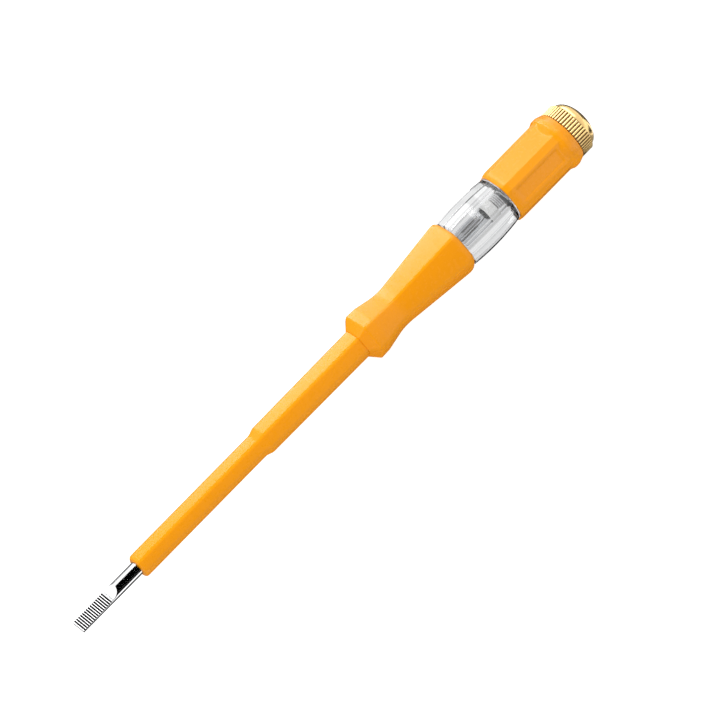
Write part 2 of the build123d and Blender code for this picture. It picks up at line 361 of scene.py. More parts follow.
# A material is one group, which takes the piece's Object coordinates and its own values, feeding
# colour, roughness and a bump of the given depth in millimetres; the shader's own values stay plain.
def makeFinish(name, group, groupValues, shaderValues, bump, marks=None):
    finish = bpy.data.materials.new(name)
    finish.use_nodes = True
    tree = finish.node_tree
    shader = tree.nodes["Principled BSDF"]
    look = addNode(tree, "ShaderNodeGroup", node_tree=group)
    place = addNode(tree, "ShaderNodeTexCoord").outputs["Object"]
    join(tree, place, look.inputs["Place"])
    for label, value in groupValues.items():
        join(tree, value, look.inputs[label])
    for label, attributeName in (marks or {}).items():
        mark = addNode(tree, "ShaderNodeAttribute", attribute_name=attributeName)
        join(tree, mark.outputs["Fac"], look.inputs[label])
    for label, value in shaderValues.items():
        shader.inputs[label].default_value = value
    join(tree, look.outputs["Colour"], shader.inputs["Base Color"])
    join(tree, look.outputs["Roughness"], shader.inputs["Roughness"])
    relief = addNode(tree, "ShaderNodeBump")
    join(tree, 1.0, relief.inputs["Strength"])
    join(tree, bump * mm, relief.inputs["Distance"])
    join(tree, look.outputs["Height"], relief.inputs["Height"])
    join(tree, relief.outputs["Normal"], shader.inputs["Normal"])
    return finish


# The grips and the sleeve are the same orange plastic but for a few values.
def makeOrange(name, shade, drift, roughness, bump, marks):
    values = {
        "Shade": shade,
        "Deep shade": (0.88, 0.30, 0.001, 1),
        "Rubbed shade": (0.95, 0.37, 0.004, 1),
        "Drift": drift,
        "Roughness": roughness,
    }
    return makeFinish(name, mouldedSkin, values, {"Specular IOR Level": 0.4, "IOR": 1.5}, bump, marks)


# the Socket mark paints a grey shadow inside the upper grip's socket; the lower grip has no such mark
gripMarks = {"Rub": "cornerRub", "Socket": "socketPaintedShadow"}
gripPlastic = makeOrange("gripPlastic", (0.94, 0.335, 0.0012, 1), 0.35, 0.25, 0.007, gripMarks)
sleevePlastic = makeOrange("sleevePlastic", (0.94, 0.34, 0.0012, 1), 0.3, 0.28, 0.006, {"Rub": "cornerRub"})
clearPlastic = makeFinish(
    "clearPlastic",
    clearSkin,
    {
        "Shade": (0.975, 0.98, 0.985, 1),
        "Smeared shade": (0.95, 0.955, 0.96, 1),
        "Roughness": 0.02,
        "Smear": 0.05,
    },
    {"Metallic": 0.0, "Transmission Weight": 1.0, "IOR": 1.49},
    0.004,
)


def makeMetal(name, stretch, bright, tarnish, roughness, bump, marks=None, **others):
    values = {
        "Stretch": stretch,
        "Bright": bright,
        "Tarnish": tarnish,
        "Grime": (0.1, 0.1, 0.1, 1),
        "Roughness": roughness,
    }
    values.update({label.replace("_", " "): value for label, value in others.items()})
    return makeFinish(name, workedMetal, values, {"Metallic": 1.0}, bump, marks)


# The grooves' mark paints shade into the metal's colour, darker where the mark is higher.
grooved = {"Grime mask": "groovePaintedShade"}
chromePlate = makeMetal(
    "chromePlate",
    (120.0, 3000.0, 3000.0),
    (0.94, 0.945, 0.955, 1),
    (0.80, 0.81, 0.83, 1),
    0.07,
    0.001,
    grooved,
    Grime=(0.012, 0.012, 0.012, 1),
    Tarnish_share=0.2,
    Streaks=0.05,
)
knurledBrass = makeMetal(
    "knurledBrass",
    (2500.0, 300.0, 300.0),
    (0.97, 0.68, 0.285, 1),
    (0.74, 0.43, 0.12, 1),
    0.16,
    0.002,
    grooved,
    Grime=(0.12, 0.045, 0.008, 1),
    Tarnish_share=0.35,
    Streaks=0.08,
)
springSteel = makeMetal(
    "springSteel", (900.0, 900.0, 900.0), (0.86, 0.86, 0.87, 1), (0.55, 0.54, 0.52, 1), 0.14, 0.002
)
tinnedBrass = makeMetal(
    "tinnedBrass", (2500.0, 300.0, 300.0), (0.92, 0.915, 0.90, 1), (0.72, 0.71, 0.68, 1), 0.22, 0.003
)
nickelWire = makeMetal(
    "nickelWire", (300.0, 2500.0, 2500.0), (0.52, 0.50, 0.47, 1), (0.30, 0.28, 0.26, 1), 0.35, 0.003
)
lampGlass = makeFinish(
    "lampGlass",
    clearSkin,
    {
        "Shade": (0.82, 0.83, 0.84, 1),
        "Smeared shade": (0.7, 0.7, 0.72, 1),
        "Roughness": 0.02,
        "Smear": 0.1,
    },
    {"Metallic": 0.0, "Transmission Weight": 1.0, "IOR": 1.48},
    0.004,
)
resistorCoat = makeFinish(
    "resistorCoat",
    mouldedSkin,
    {
        "Shade": (0.52, 0.36, 0.20, 1),
        "Deep shade": (0.40, 0.26, 0.13, 1),
        "Rubbed shade": (0.6, 0.45, 0.3, 1),
        "Drift": 0.8,
        "Roughness": 0.3,
    },
    {"Coat Weight": 0.4, "Coat Roughness": 0.15},
    0.02,
)
print("finishes made:", len(bpy.data.materials))


# The blade is a round bar cut by two flats: across is R cos(angle), and up is the softened smaller of
# R sin(angle) and the flats' height, which is a slope, then the run-out arc
# slope + r - sqrt(r^2 - distance^2), less a V for each cross groove.
bladeShape = {
    "radius": 2.0,
    "turn": math.radians(16),
    "tipHeight": 0.45,
    "rootHeight": 0.65,
    "rootAt": 11.2,
    "runOut": 3.4,
    "firstGroove": 0.6,
    "groovePitch": 0.7,
    "grooveCount": 15,
    "grooveWidth": 0.58,
    "grooveDepth": 0.13,
    "edge": 0.06,
    "flatPower": 26,
    "spokesPerQuarter": 26,
    "spokeCrowding": 1.6,
    "runLineWidth": 0.09,
    "runLinePaintedShade": 0.75,
}


def buildBlade(shape):
    grooves = shape["firstGroove"] + shape["groovePitch"] * np.arange(shape["grooveCount"])
    # rings stand beside each groove, on its two walls and at its bottom
    notch = shape["grooveWidth"] * np.array([-0.6, -0.5, -0.4, -0.2, 0.0, 0.2, 0.4, 0.5, 0.6])
    outline = np.concatenate(
        [
            [0, 0.04, 0.12],
            (grooves[:, None] + notch).ravel(),
            np.linspace(shape["rootAt"] - 0.1, shape["rootAt"] + 0.1, 5),
            shape["rootAt"] + shape["runOut"] * np.sin(np.linspace(0.05, 1.05, 16)),
            [sleeveFront - 0.2, sleeveFront, bladeRear - 0.3, bladeRear],
        ]
    )
    station = np.unique(np.round(outline, 5))[:, None]
    quarter = math.pi / 2 * np.linspace(0, 1, shape["spokesPerQuarter"])[:-1] ** shape["spokeCrowding"]
    back = quarter[::-1]
    angle = np.concatenate([quarter, math.pi - back, math.pi + quarter, fullTurn - back])
    angle = np.append(angle, [math.pi / 2, 1.5 * math.pi]) % fullTurn
    angle = np.unique(np.round(angle, 6))[None, :]
    slope = (shape["rootHeight"] - shape["tipHeight"]) / shape["rootAt"]
    past = np.clip(station - shape["rootAt"], 0, shape["runOut"] * 0.999)
    height = shape["tipHeight"] + slope * np.minimum(station, shape["rootAt"])
    height = height + shape["runOut"] - np.sqrt(shape["runOut"] ** 2 - past**2)
    height = np.where(station > sleeveFront - 1, 2 * shape["radius"], height)
    near = np.abs(station - grooves[None, :]).min(axis=1, keepdims=True)
    depth = np.clip(1 - 2 * near / shape["grooveWidth"], 0, 1)
    height = height - shape["grooveDepth"] * np.sqrt(depth)
    # the tip's and the rear's edges are eased by a small quarter round
    edge = shape["edge"]
    fromEnd = np.minimum(np.minimum(station, bladeRear - station), edge)
    ease = edge - np.sqrt(np.maximum(edge**2 - (edge - fromEnd) ** 2, 0))
    bar = shape["radius"] - ease
    upward = bar * np.sin(angle)
    across = bar * np.cos(angle)
    flattened = np.sign(upward) * softMin(np.abs(upward) + 1e-6, height - ease, shape["flatPower"])
    radius = np.hypot(across, flattened)
    bearing = np.arctan2(flattened, across) + shape["turn"]
    onFlat = np.abs(upward) > height - 0.02
    # Painted shade: the flats are darkened towards near black at the bottom of each groove and along a thin
    # line where they run out.
    paintedShade = smoothStep(0.0, 0.2, depth) * onFlat
    runLine = np.exp(-(((station - shape["rootAt"]) / shape["runLineWidth"]) ** 2))
    runLine = runLine * onFlat * shape["runLinePaintedShade"]
    grid = roundAxis(station, radius, bearing)
    return skinPiece("bladeSteel", grid, marks={"groovePaintedShade": np.maximum(paintedShade, runLine)})


settle(buildBlade(bladeShape), "handle", "chromed_steel", chromePlate, "blade")
print("blade built")


# A tube of facets: its outer path carries the facets, its inner path is round, and the two join into
# one loop. Each ring's radius is its facet radius times its share, plus the round radius otherwise.
def facetShell(name, outer, inner, facets, angle, marks):
    station = np.concatenate([outer[:, 0], inner[:, 0]])[:, None]
    outerRadius = facets(outer[:, :1], outer[:, 1:], angle[None, :])
    innerRadius = np.broadcast_to(inner[:, 1:], (len(inner), len(angle)))
    radius = np.vstack([outerRadius, innerRadius])
    spread = {}
    for label, value in marks.items():
        spread[label] = np.vstack([np.broadcast_to(value, outerRadius.shape), 0 * innerRadius])
    return skinPiece(name, roundAxis(station, radius, angle[None, :]), loops=True, marks=spread)


hexCorners = np.radians(60 * np.arange(6))
sleeveShape = {
    "thinFlat": 3.3,
    "thickFlat": 3.9,
    "rearFlat": 4.07,
    "stepFront": 45.0,
    "stepRear": 46.8,
    "frontRounding": 0.95,
    "stepRounding": 3.0,
    "cornerRounding": 1.2,
    "crown": 0.1,
    "spigot": 3.28,
    "bore": 2.03,
    "frontWall": 0.2,
    "spokesPerFacet": 24,
    "rubWidth": 3.5,
    "turn": math.radians(30),
}


# The sleeve's facets follow the path of its flats: thin, a short cone, then thick with a little draft.
def buildSleeve(shape):
    stepFront, stepRear = sleeveFront + shape["stepFront"], sleeveFront + shape["stepRear"]
    outer = roundedPath(
        [
            (sleeveFront, shape["bore"] + shape["frontWall"], 0),
            (sleeveFront, shape["thinFlat"], shape["frontRounding"]),
            (stepFront, shape["thinFlat"], shape["stepRounding"]),
            (stepRear, shape["thickFlat"], shape["stepRounding"]),
            (lowerFront - seam, shape["rearFlat"], 0),
        ],
        spacing=1.5,
    )
    inner = roundedPath(
        [
            (lowerFront - seam, shape["spigot"], 0),
            (sleeveRear, shape["spigot"], 0),
            (sleeveRear, shape["bore"], 0),
            (sleeveFront, shape["bore"], 0),
        ],
        spacing=6,
    )
    angle = spokeAngles(hexCorners, shape["spokesPerFacet"])
    rub = cornerMark(angle, hexCorners, shape["rubWidth"])

    def facets(station, flat, angle):
        return facetRadius(flat, angle, 6, shape["turn"], shape["cornerRounding"], shape["crown"])

    return facetShell("sleeve", outer, inner, facets, angle, {"cornerRub": rub})


settle(buildSleeve(sleeveShape), "handle", "sleeve_plastic", sleevePlastic, "shank_sleeve")

lowerShape = {
    "noseFlat": 4.25,
    "collarFlat": 6.6,
    "collarRearFlat": 6.5,
    "neckFlat": 5.22,
    "flareFlat": 7.4,
    "collarFull": 2.4,
    "collarRear": 5.5,
    "neck": 12.5,
    "flare": 35.3,
    "noseWall": 0.6,
    "noseEdge": 0.15,
    "noseRounding": 0.6,
    "collarRounding": 4.0,
    "neckRounding": 20.0,
    "flareRounding": 6.0,
    "rimRounding": 0.9,
    "rimInner": 6.2,
    "cornerRounding": 0.9,
    "crown": 0.2,
    "rimRadius": 6.95,
    "rimRise": 1.5,
    "rimLength": 2.6,
    "rimPower": 60,
    "socket": 5.2,
    "resistorBore": 2.8,
    "spokesPerFacet": 28,
    "rubWidth": 3.0,
    "turn": math.radians(30),
}


# The lower grip's flats follow nose, collar, neck and flare. Near the rear an ellipse of revolution,
# rim + rise * sqrt(1 - (distance / length)^2), takes over wherever it is smaller than the facets.
def buildLowerGrip(shape):
    outer = roundedPath(
        [
            (lowerFront, sleeveShape["spigot"] + shape["noseWall"], 0),
            (lowerFront, shape["noseFlat"], shape["noseEdge"]),
            (lowerFront + shape["collarFull"], shape["collarFlat"], shape["noseRounding"]),
            (lowerFront + shape["collarRear"], shape["collarRearFlat"], shape["collarRounding"]),
            (lowerFront + shape["neck"], shape["neckFlat"], shape["neckRounding"]),
            (lowerFront + shape["flare"], shape["flareFlat"], shape["flareRounding"]),
            (lowerRear, shape["flareFlat"], shape["rimRounding"]),
            (lowerRear, shape["rimInner"], 0),
        ],
        spacing=0.7,
    )
    inner = roundedPath(
        [
            (lowerRear, shape["socket"], 0),
            (tubeFront, shape["socket"], 0),
            (tubeFront, shape["resistorBore"], 0),
            (bladeRear, shape["resistorBore"], 0),
            (bladeRear, sleeveShape["bore"], 0),
            (sleeveRear, sleeveShape["bore"], 0),
            (sleeveRear, sleeveShape["spigot"] + seam, 0),
            (lowerFront, sleeveShape["spigot"] + seam, 0),
        ],
        spacing=4,
    )
    angle = spokeAngles(hexCorners, shape["spokesPerFacet"])
    rub = cornerMark(angle, hexCorners, shape["rubWidth"])

    def facets(station, flat, angle):
        polygon = facetRadius(flat, angle, 6, shape["turn"], shape["cornerRounding"], shape["crown"])
        along = np.clip((station - lowerRear + shape["rimLength"]) / shape["rimLength"], 0, 1)
        rim = shape["rimRadius"] + shape["rimRise"] * np.sqrt(1 - along**2)
        return softMin(polygon, rim, shape["rimPower"])

    return facetShell("lowerGrip", outer, inner, facets, angle, {"cornerRub": rub})


settle(buildLowerGrip(lowerShape), "handle", "grip_plastic", gripPlastic, "lower_grip")
print("sleeve and lower grip built")

windowShape = {
    "count": 16,
    "turn": math.radians(4.25),
    "frontFlat": 7.05,
    "middleFlat": 7.5,
    "rearFlat": 6.85,
    "middle": 7.7,
    "cornerRounding": 0.25,
    "spigot": 5.18,
    "spigotRounding": 0.3,
    "bore": 2.8,
    "boreRounding": 0.2,
    "rings": 40,
    "spokesPerFacet": 10,
}


# The window's flats are a parabola through front, middle and rear; both spigots and the bore are round.
def buildWindow(shape):
    fit = np.polyfit(
        [lowerRear, lowerRear + shape["middle"], upperFront],
        [shape["frontFlat"], shape["middleFlat"], shape["rearFlat"]],
        2,
    )
    station = np.linspace(lowerRear + seam, upperFront - seam, shape["rings"])
    outer = np.stack([station, np.polyval(fit, station)], axis=1)
    inner = roundedPath(
        [
            (upperFront - seam, shape["spigot"], 0),
            (tubeRear, shape["spigot"], shape["spigotRounding"]),
            (tubeRear, shape["bore"], shape["boreRounding"]),
            (tubeFront, shape["bore"], shape["boreRounding"]),
            (tubeFront, shape["spigot"], shape["spigotRounding"]),
            (lowerRear + seam, shape["spigot"], 0),
        ],
        spacing=1.5,
    )
    corners = shape["turn"] + math.pi / shape["count"] * (1 + 2 * np.arange(shape["count"]))
    angle = spokeAngles(corners, shape["spokesPerFacet"])

    def facets(station, flat, angle):
        return facetRadius(flat, angle, shape["count"], shape["turn"], shape["cornerRounding"])

    return facetShell("windowTube", outer, inner, facets, angle, {})


settle(buildWindow(windowShape), "handle", "clear_plastic", clearPlastic, "window_tube")

threadShape = {"pitch": 1.0, "major": 4.46, "depth": 0.5, "gap": 0.1, "crest": 0.08}


# A right-hand thread: within each pitch the radius falls by the depth and rises again, and the phase
# is station / pitch less the turned share of the circle. Crest and root are flat for a small share.
def threadRadius(station, angle, shape):
    phase = station / shape["pitch"] - angle / fullTurn
    ramp = np.abs((phase % 1) * 2 - 1)
    return shape["major"] - shape["depth"] * smoothStep(shape["crest"], 1 - shape["crest"], ramp)


upperShape = {
    "wideFlat": 7.44,
    "narrowFlat": 7.98,
    "turn": math.radians(8),
    "facetPower": 220,
    "socket": 5.2,
    "frontInner": 6.4,
    "frontEdge": 7.3,
    "frontBevel": 0.35,
    "frontDrop": 0.5,
    "frontLength": 2.0,
    "clear": 8.6,
    "rearEdge": 7.4,
    "rearBevel": 0.12,
    "boreRim": 0.04,
    "lipRadius": 8.25,
    "lipFront": 18.4,
    "lipFull": 20.5,
    "lipRear": 21.8,
    "capRadius": 7.62,
    "lipRounding": 1.2,
    "lipPower": 110,
    "panelTurn": math.radians(158),
    "panelFront": 2.6,
    "panelRear": 18.0,
    "panelHalf": 1.8,
    "panelDepth": 0.18,
    "panelEdge": 0.4,
    "panelSpokes": np.array([12.9, 13.4, 13.9, 14.4]),
    "spokesPerFacet": 15,
    "rubWidth": 2.0,
    "ringsPerPitch": 10,
}


# The upper grip's cross-section is a power mean of the distances to six wide and six narrow facets.
# The lip is a turned path that stands out of the facets by a softened maximum, and the panel is a
# shallow rectangle taken off one wide facet. The outer path trims the front and rear edges; elsewhere
# it stays clear of the facets.
def buildUpperGrip(shape):
    clear = shape["clear"]
    outer = roundedPath(
        [
            (upperFront, shape["frontInner"], 0),
            (upperFront, shape["frontEdge"], shape["frontBevel"]),
            (upperFront + shape["frontBevel"], clear, 0),
            (upperFront + shape["lipFront"], clear, 0),
            (upperFront + shape["lipFull"], clear, 0),
            (upperFront + shape["lipRear"], clear, 0),
            (upperRear - shape["rearBevel"], clear, 0),
            (upperRear, shape["rearEdge"], 0.1),
            (upperRear, threadShape["major"] + threadShape["gap"] + shape["boreRim"], 0),
        ],
        spacing=0.35,
    )
    lip = roundedPath(
        [
            (upperFront, 0.5, 0),
            (upperFront + shape["lipFront"] - 1.0, 5.0, 0),
            (upperFront + shape["lipFront"], shape["wideFlat"] - 0.15, 0.6),
            (upperFront + shape["lipFull"], shape["lipRadius"], shape["lipRounding"]),
            (upperFront + shape["lipRear"], shape["lipRadius"], shape["lipRounding"]),
            (upperRear + seam, shape["capRadius"], 0),
        ],
        spacing=0.3,
    )
    threadRings = np.arange(upperRear, tubeRear + 0.4, -threadShape["pitch"] / shape["ringsPerPitch"])
    panelSpokes = np.concatenate([-shape["panelSpokes"][::-1], shape["panelSpokes"]])
    edgeTurns = shape["panelTurn"] + np.radians(panelSpokes)
    normals = shape["turn"] + np.radians(30 * np.arange(12))
    flats = np.where(np.arange(12) % 2 == 0, shape["narrowFlat"], shape["wideFlat"])
    # a wide and a narrow facet stand `apart` and meet `step` from the wide one's middle
    apart = math.pi / 6
    ratio = shape["narrowFlat"] / shape["wideFlat"]
    step = math.atan((ratio - math.cos(apart)) / math.sin(apart))
    wide = normals[1::2]
    corners = np.concatenate([wide - step, wide + step])
    angle = spokeAngles(corners, shape["spokesPerFacet"], edgeTurns)

    def facets(station, limit, angle):
        facing = np.maximum(np.cos(angle[..., None] - normals) / flats, 1e-3)
        polygon = (facing ** shape["facetPower"]).sum(-1) ** (-1 / shape["facetPower"])
        along = np.clip((station - upperFront) / shape["frontLength"], 0, 1)
        eased = np.sqrt(np.clip(1 - (1 - along) ** 2, 0, 1))
        polygon = polygon - shape["frontDrop"] * (1 - eased)
        turned = np.interp(station, lip[:, 0], lip[:, 1])
        skin = softMax(polygon, turned, shape["lipPower"])
        skin = np.where(station > upperFront + shape["lipRear"], np.minimum(skin, turned + 0.005), skin)
        sideways = np.abs(skin * np.sin(angle - shape["panelTurn"]))
        sideways = np.where(np.cos(angle - shape["panelTurn"]) > 0, sideways, 99)
        over = smoothStep(-shape["panelEdge"], 0, shape["panelHalf"] - sideways)
        over = over * smoothStep(0, shape["panelEdge"], station - upperFront - shape["panelFront"])
        over = over * smoothStep(0, shape["panelEdge"], upperFront + shape["panelRear"] - station)
        skin = skin - shape["panelDepth"] * over
        return np.minimum(skin, np.where(limit < clear - 0.1, limit, 99))

    boreStations = np.concatenate([threadRings, [tubeRear + 0.2, tubeRear, upperFront]])
    boreRadius = threadRadius(boreStations[:, None], angle[None, :], threadShape) + threadShape["gap"]
    boreRadius[-3:] = [[threadShape["major"] + threadShape["gap"]], [shape["socket"]], [shape["socket"]]]
    station = np.concatenate([outer[:, 0], boreStations])[:, None]
    radius = np.vstack([facets(outer[:, :1], outer[:, 1:], angle[None, :]), boreRadius])
    onOutside = np.arange(len(station))[:, None] < len(outer)
    rub = cornerMark(angle, corners, shape["rubWidth"]) * onOutside
    # Painted shadow: the front face within radius 7 and the whole bore are marked to turn grey, for the dark
    # inside of the grip.
    depth = np.where(onOutside, (station <= upperFront) * (radius < 7), 1.0)
    marks = {"cornerRub": rub, "socketPaintedShadow": depth}
    return skinPiece("upperGrip", roundAxis(station, radius, angle[None, :]), loops=True, marks=marks)


settle(buildUpperGrip(upperShape), "handle", "grip_plastic", gripPlastic, "upper_grip")
print("window and upper grip built")

capShape = {
    "knurlRadius": 7.6,
    "knurlRear": 4.0,
    "knurlCount": 50,
    "knurlDepth": 0.3,
    "knurlPower": 2.0,
    "domeRadius": 6.9,
    "gap": 0.05,
    "pocketRadius": 2.5,
    "pocketDepth": 2.0,
    "neckDrop": 0.5,
    "domePower": 0.92,
    "spokesPerKnurl": 8,
    "ringsPerPitch": 12,
    "seamWidth": 0.12,
    "seamPaintedShade": 0.6,
}


# The cap is one turned path from the spring pocket's floor over the screw, flange, knurled band and
# dome. The band's radius falls by the depth times ((1 + cos(count * angle)) / 2)^power at each groove.
def buildCap(shape):
    flange = upperRear + shape["gap"]
    knurlRear = upperRear + shape["knurlRear"]
    pocketFloor = screwFront + shape["pocketDepth"]
    major = threadShape["major"]
    pocket = roundedPath(
        [
            (pocketFloor, 0.05, 0),
            (pocketFloor, shape["pocketRadius"], 0.2),
            (screwFront, shape["pocketRadius"], 0.15),
            (screwFront, major - 0.6, 0.1),
            (screwFront + 0.25, major - 0.35, 0),
        ],
        spacing=0.5,
    )
    ringStep = threadShape["pitch"] / shape["ringsPerPitch"]
    threadRings = np.arange(screwFront + 0.35, flange - 0.35, ringStep)
    flangeFace = roundedPath(
        [
            (flange - 0.3, major - shape["neckDrop"], 0),
            (flange, major - shape["neckDrop"], 0.1),
            (flange, shape["knurlRadius"] - shape["knurlDepth"], 0.1),
            (flange + 0.22, shape["knurlRadius"], 0.1),
            (knurlRear - 0.3, shape["knurlRadius"], 0.12),
            (knurlRear, shape["domeRadius"] + 0.35, 0.08),
            (knurlRear, shape["domeRadius"], 0),
        ],
        spacing=0.3,
        hold=0.05,
    )
    rise = np.linspace(0, math.pi / 2, 26)[1:-1]
    domeStation = knurlRear + (capEnd - knurlRear) * np.sin(rise)
    dome = np.stack([domeStation, shape["domeRadius"] * np.cos(rise) ** shape["domePower"]], axis=1)
    profile = np.vstack([pocket, np.stack([threadRings, 0 * threadRings], axis=1), flangeFace, dome])
    angle = np.linspace(0, fullTurn, shape["knurlCount"] * shape["spokesPerKnurl"] + 1)[None, :-1]
    station, turned = profile[:, :1], profile[:, 1:]
    isThread = turned == 0
    wave = ((1 + np.cos(shape["knurlCount"] * angle)) / 2) ** shape["knurlPower"]
    onBand = (station >= flange - 1e-6) & (station <= knurlRear + 1e-6) & (turned > shape["domeRadius"])
    floor = shape["knurlRadius"] - shape["knurlDepth"] * wave
    radius = np.where(onBand, np.minimum(turned, floor), turned)
    radius = np.where(isThread, threadRadius(station, angle, threadShape), radius)
    # Painted shade: the knurl's grooves are darkened brown towards their bottoms, and so is a thin line in
    # the crease where the band steps down to the dome.
    paintedShade = np.where(onBand, smoothStep(0.25, 0.8, wave), 0)
    domeSeam = np.exp(-(((station - knurlRear) / shape["seamWidth"]) ** 2))
    domeSeam = domeSeam * (turned <= shape["domeRadius"] + 0.4) * shape["seamPaintedShade"]
    marks = {"groovePaintedShade": np.maximum(paintedShade, domeSeam)}
    return skinPiece("brassCap", roundAxis(station, radius, angle), marks=marks)


settle(buildCap(capShape), "cap", "brass", knurledBrass, "end_cap")

springShape = {
    "wire": 0.28,
    "coil": 2.0,
    "closedFront": 4.0,
    "closedRear": 2.0,
    "openTurns": 8.0,
    "closedPitch": 2.06,
    "easeTurns": 0.3,
    "ringsPerTurn": 30,
    "spokes": 10,
}


# The spring's wire follows a helix whose rise is small in the closed coils at its ends. A ring of the
# wire is radius * (cos v * outward + sin v * (tangent x outward)) about each point of the path.
def buildSpring(shape):
    turns = shape["closedFront"] + shape["openTurns"] + shape["closedRear"]
    path = np.linspace(0, turns, int(turns * shape["ringsPerTurn"]) + 1)
    ease = shape["easeTurns"]
    closing = turns - shape["closedRear"]
    opening = smoothStep(shape["closedFront"] - ease, shape["closedFront"] + ease, path)
    opening = opening - smoothStep(closing - ease, closing + ease, path)
    closedRise = shape["closedPitch"] * shape["wire"]
    length = springRear - springFront - 2 * shape["wire"]
    openTurns = float(opening.sum() * (path[1] - path[0]))
    openRise = (length - closedRise * turns) / openTurns
    rise = closedRise + openRise * opening
    run = np.concatenate([[0], np.cumsum((rise[1:] + rise[:-1]) / 2 * np.diff(path))])
    turn = fullTurn * path
    along = springFront + shape["wire"] + run
    centre = np.stack([along, shape["coil"] * np.cos(turn), shape["coil"] * np.sin(turn)], axis=1)
    tangent = np.gradient(centre, axis=0)
    tangent /= np.linalg.norm(tangent, axis=1)[:, None]
    outward = np.stack([0 * turn, np.cos(turn), np.sin(turn)], axis=1)
    binormal = np.cross(tangent, outward)
    around = np.linspace(0, fullTurn, shape["spokes"] + 1)[None, :-1, None]
    ring = np.cos(around) * outward[:, None] + np.sin(around) * binormal[:, None]
    grid = centre[:, None] + shape["wire"] * ring
    grid = grid * mm + np.array([tipX, 0, axisZ])
    closed = (springFront + shape["closedFront"] * closedRise, springRear - shape["closedRear"] * closedRise)
    return skinPiece("capSpring", grid[:, ::-1]), closed


capSpring, (blendFront, blendRear) = buildSpring(springShape)
settle(capSpring, None, "spring_steel", springSteel, "cap_spring")
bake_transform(capSpring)
print("cap and spring built")

ferruleShape = {"base": 0.68, "edge": 0.25, "lip": 0.12, "leadHole": 0.22, "lipLength": 0.5, "lipRise": 0.06}


# A ferrule is a turned cup with a rounded base edge and a rolled lip. It is built from its base at
# station `start` towards `facing`, and the path is reversed when it faces the front.
def buildFerrule(name, node, inner, shape):
    front, rear = nodeSpan(node)
    low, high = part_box(node)
    outer = (high.z - low.z) / mm / 2
    facing = 1 if name.endswith("Front") else -1
    start, end = (front, rear) if facing > 0 else (rear, front)
    profile = roundedPath(
        [
            (start, shape["leadHole"], 0),
            (start, outer, shape["edge"]),
            (end - shape["lipLength"] * facing, outer - shape["lipRise"], 0.2),
            (end, outer, shape["lip"]),
            (end, inner + seam, 0.05),
            (start + shape["base"] * facing, inner + seam, 0.1),
            (start + shape["base"] * facing, shape["leadHole"], 0),
        ],
        spacing=0.6,
        arcSteps=4,
        hold=0.05,
    )
    if facing < 0:
        profile = profile[::-1]
    angle = np.linspace(0, fullTurn, 49)[None, :-1]
    piece = skinPiece(name, roundAxis(profile[:, :1], profile[:, 1:], angle), loops=True)
    return settle(piece, "handle", "tinned_brass", tinnedBrass, node)


for end in ("front", "rear"):
    buildFerrule("resistorFerrule" + end.title(), "resistor_ferrule_" + end, 2.0, ferruleShape)
    buildFerrule("lampFerrule" + end.title(), "lamp_ferrule_" + end, 2.3, ferruleShape)

# the CAD nodes that keep their shape get their finishes
keptNodes = {
    "lamp_glass": lampGlass,
    "resistor_rod": resistorCoat,
    "lamp_lead_front": nickelWire,
    "lamp_lead_rear": nickelWire,
    "lamp_electrode_front": nickelWire,
    "lamp_electrode_rear": nickelWire,
}
for node, finish in keptNodes.items():
    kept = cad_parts[node]
    kept.data.materials.clear()
    kept.data.materials.append(finish)
print("lamp and resistor dressed")

studio = {
    "worldStrength": 0.36,
    "keyAngle": 82,
    "keyLean": -0.15,
    "keyDistance": 1.1,
    "keySize": 1.0,
    "keyPower": 15.2,
    "tunnelRadius": 0.62,
    "tunnelStraight": 0.3,
    "tunnelEnd": 1.2,
    "bladeGlow": 1.25,
    "gripGlow": 6.5,
    "farGlow": 3.3,
    "frontGlow": 0.9,
    "capGlow": 1.0,
    "cardHeight": 0.0003,
    "cardFrom": 85,
    "windowCardFrom": 108,
    "windowFrom": 0.19,
    "windowSoft": 0.01,
    "cardSoft": 3.0,
    "gripFrom": 0.08,
    "gripSoft": 0.015,
    "frontFrom": 0.15,
    "frontSoft": 0.05,
    "capFrom": 0.228,
    "capFromSoft": 0.012,
    "capTo": 0.27,
    "capToSoft": 0.02,
    "farSoft": 0.03,
    "endFrom": 0.7,
    "endSoft": 0.1,
    "gripLow": (9, 24),
    "bladeLow": (24, 40),
    "bladeLowGlow": 0.22,
    "roomGlow": 0.8,
    "roomSize": 1.02,
    "floorSize": 6.0,
    "floorSquares": 8,
    "floorShade": 0.3,
    "floorGlow": 0.97,
}
# Cards on the floor: x range, y range, glow. The dark ones are seen in reflections, the grey ones
# through the clear window.
darkCards = [
    ((-0.07, 0.036), (-0.62, 0.62), 0.03),
    ((0.036, 0.066), (-0.62, 0.006), 0.03),
    ((0.066, 0.09), (-0.62, 0.62), 0.03),
    ((-0.6, -0.07), (-0.62, -0.0155), 0.008),
    ((-0.6, -0.07), (-0.0072, 0.0), 0.08),
    ((-0.6, -0.07), (0.0, 0.62), 0.25),
    ((0.09, 0.098), (-0.62, 0.62), 0.35),
    ((0.1, 0.113), (-0.02, -0.004), 0.03),
    ((0.098, 0.16), (0.001, 0.1), 0.1),
]
greyCards = [
    ((-0.1, 0.3), (-0.3, -0.002), 0.6),
    ((-0.1, 0.3), (-0.002, 0.013), 0.85),
    ((-0.1, 0.3), (0.013, 0.3), 0.6),
]


def emptyMaterial(name):
    material = bpy.data.materials.new(name)
    material.use_nodes = True
    material.node_tree.nodes.clear()
    return material, material.node_tree


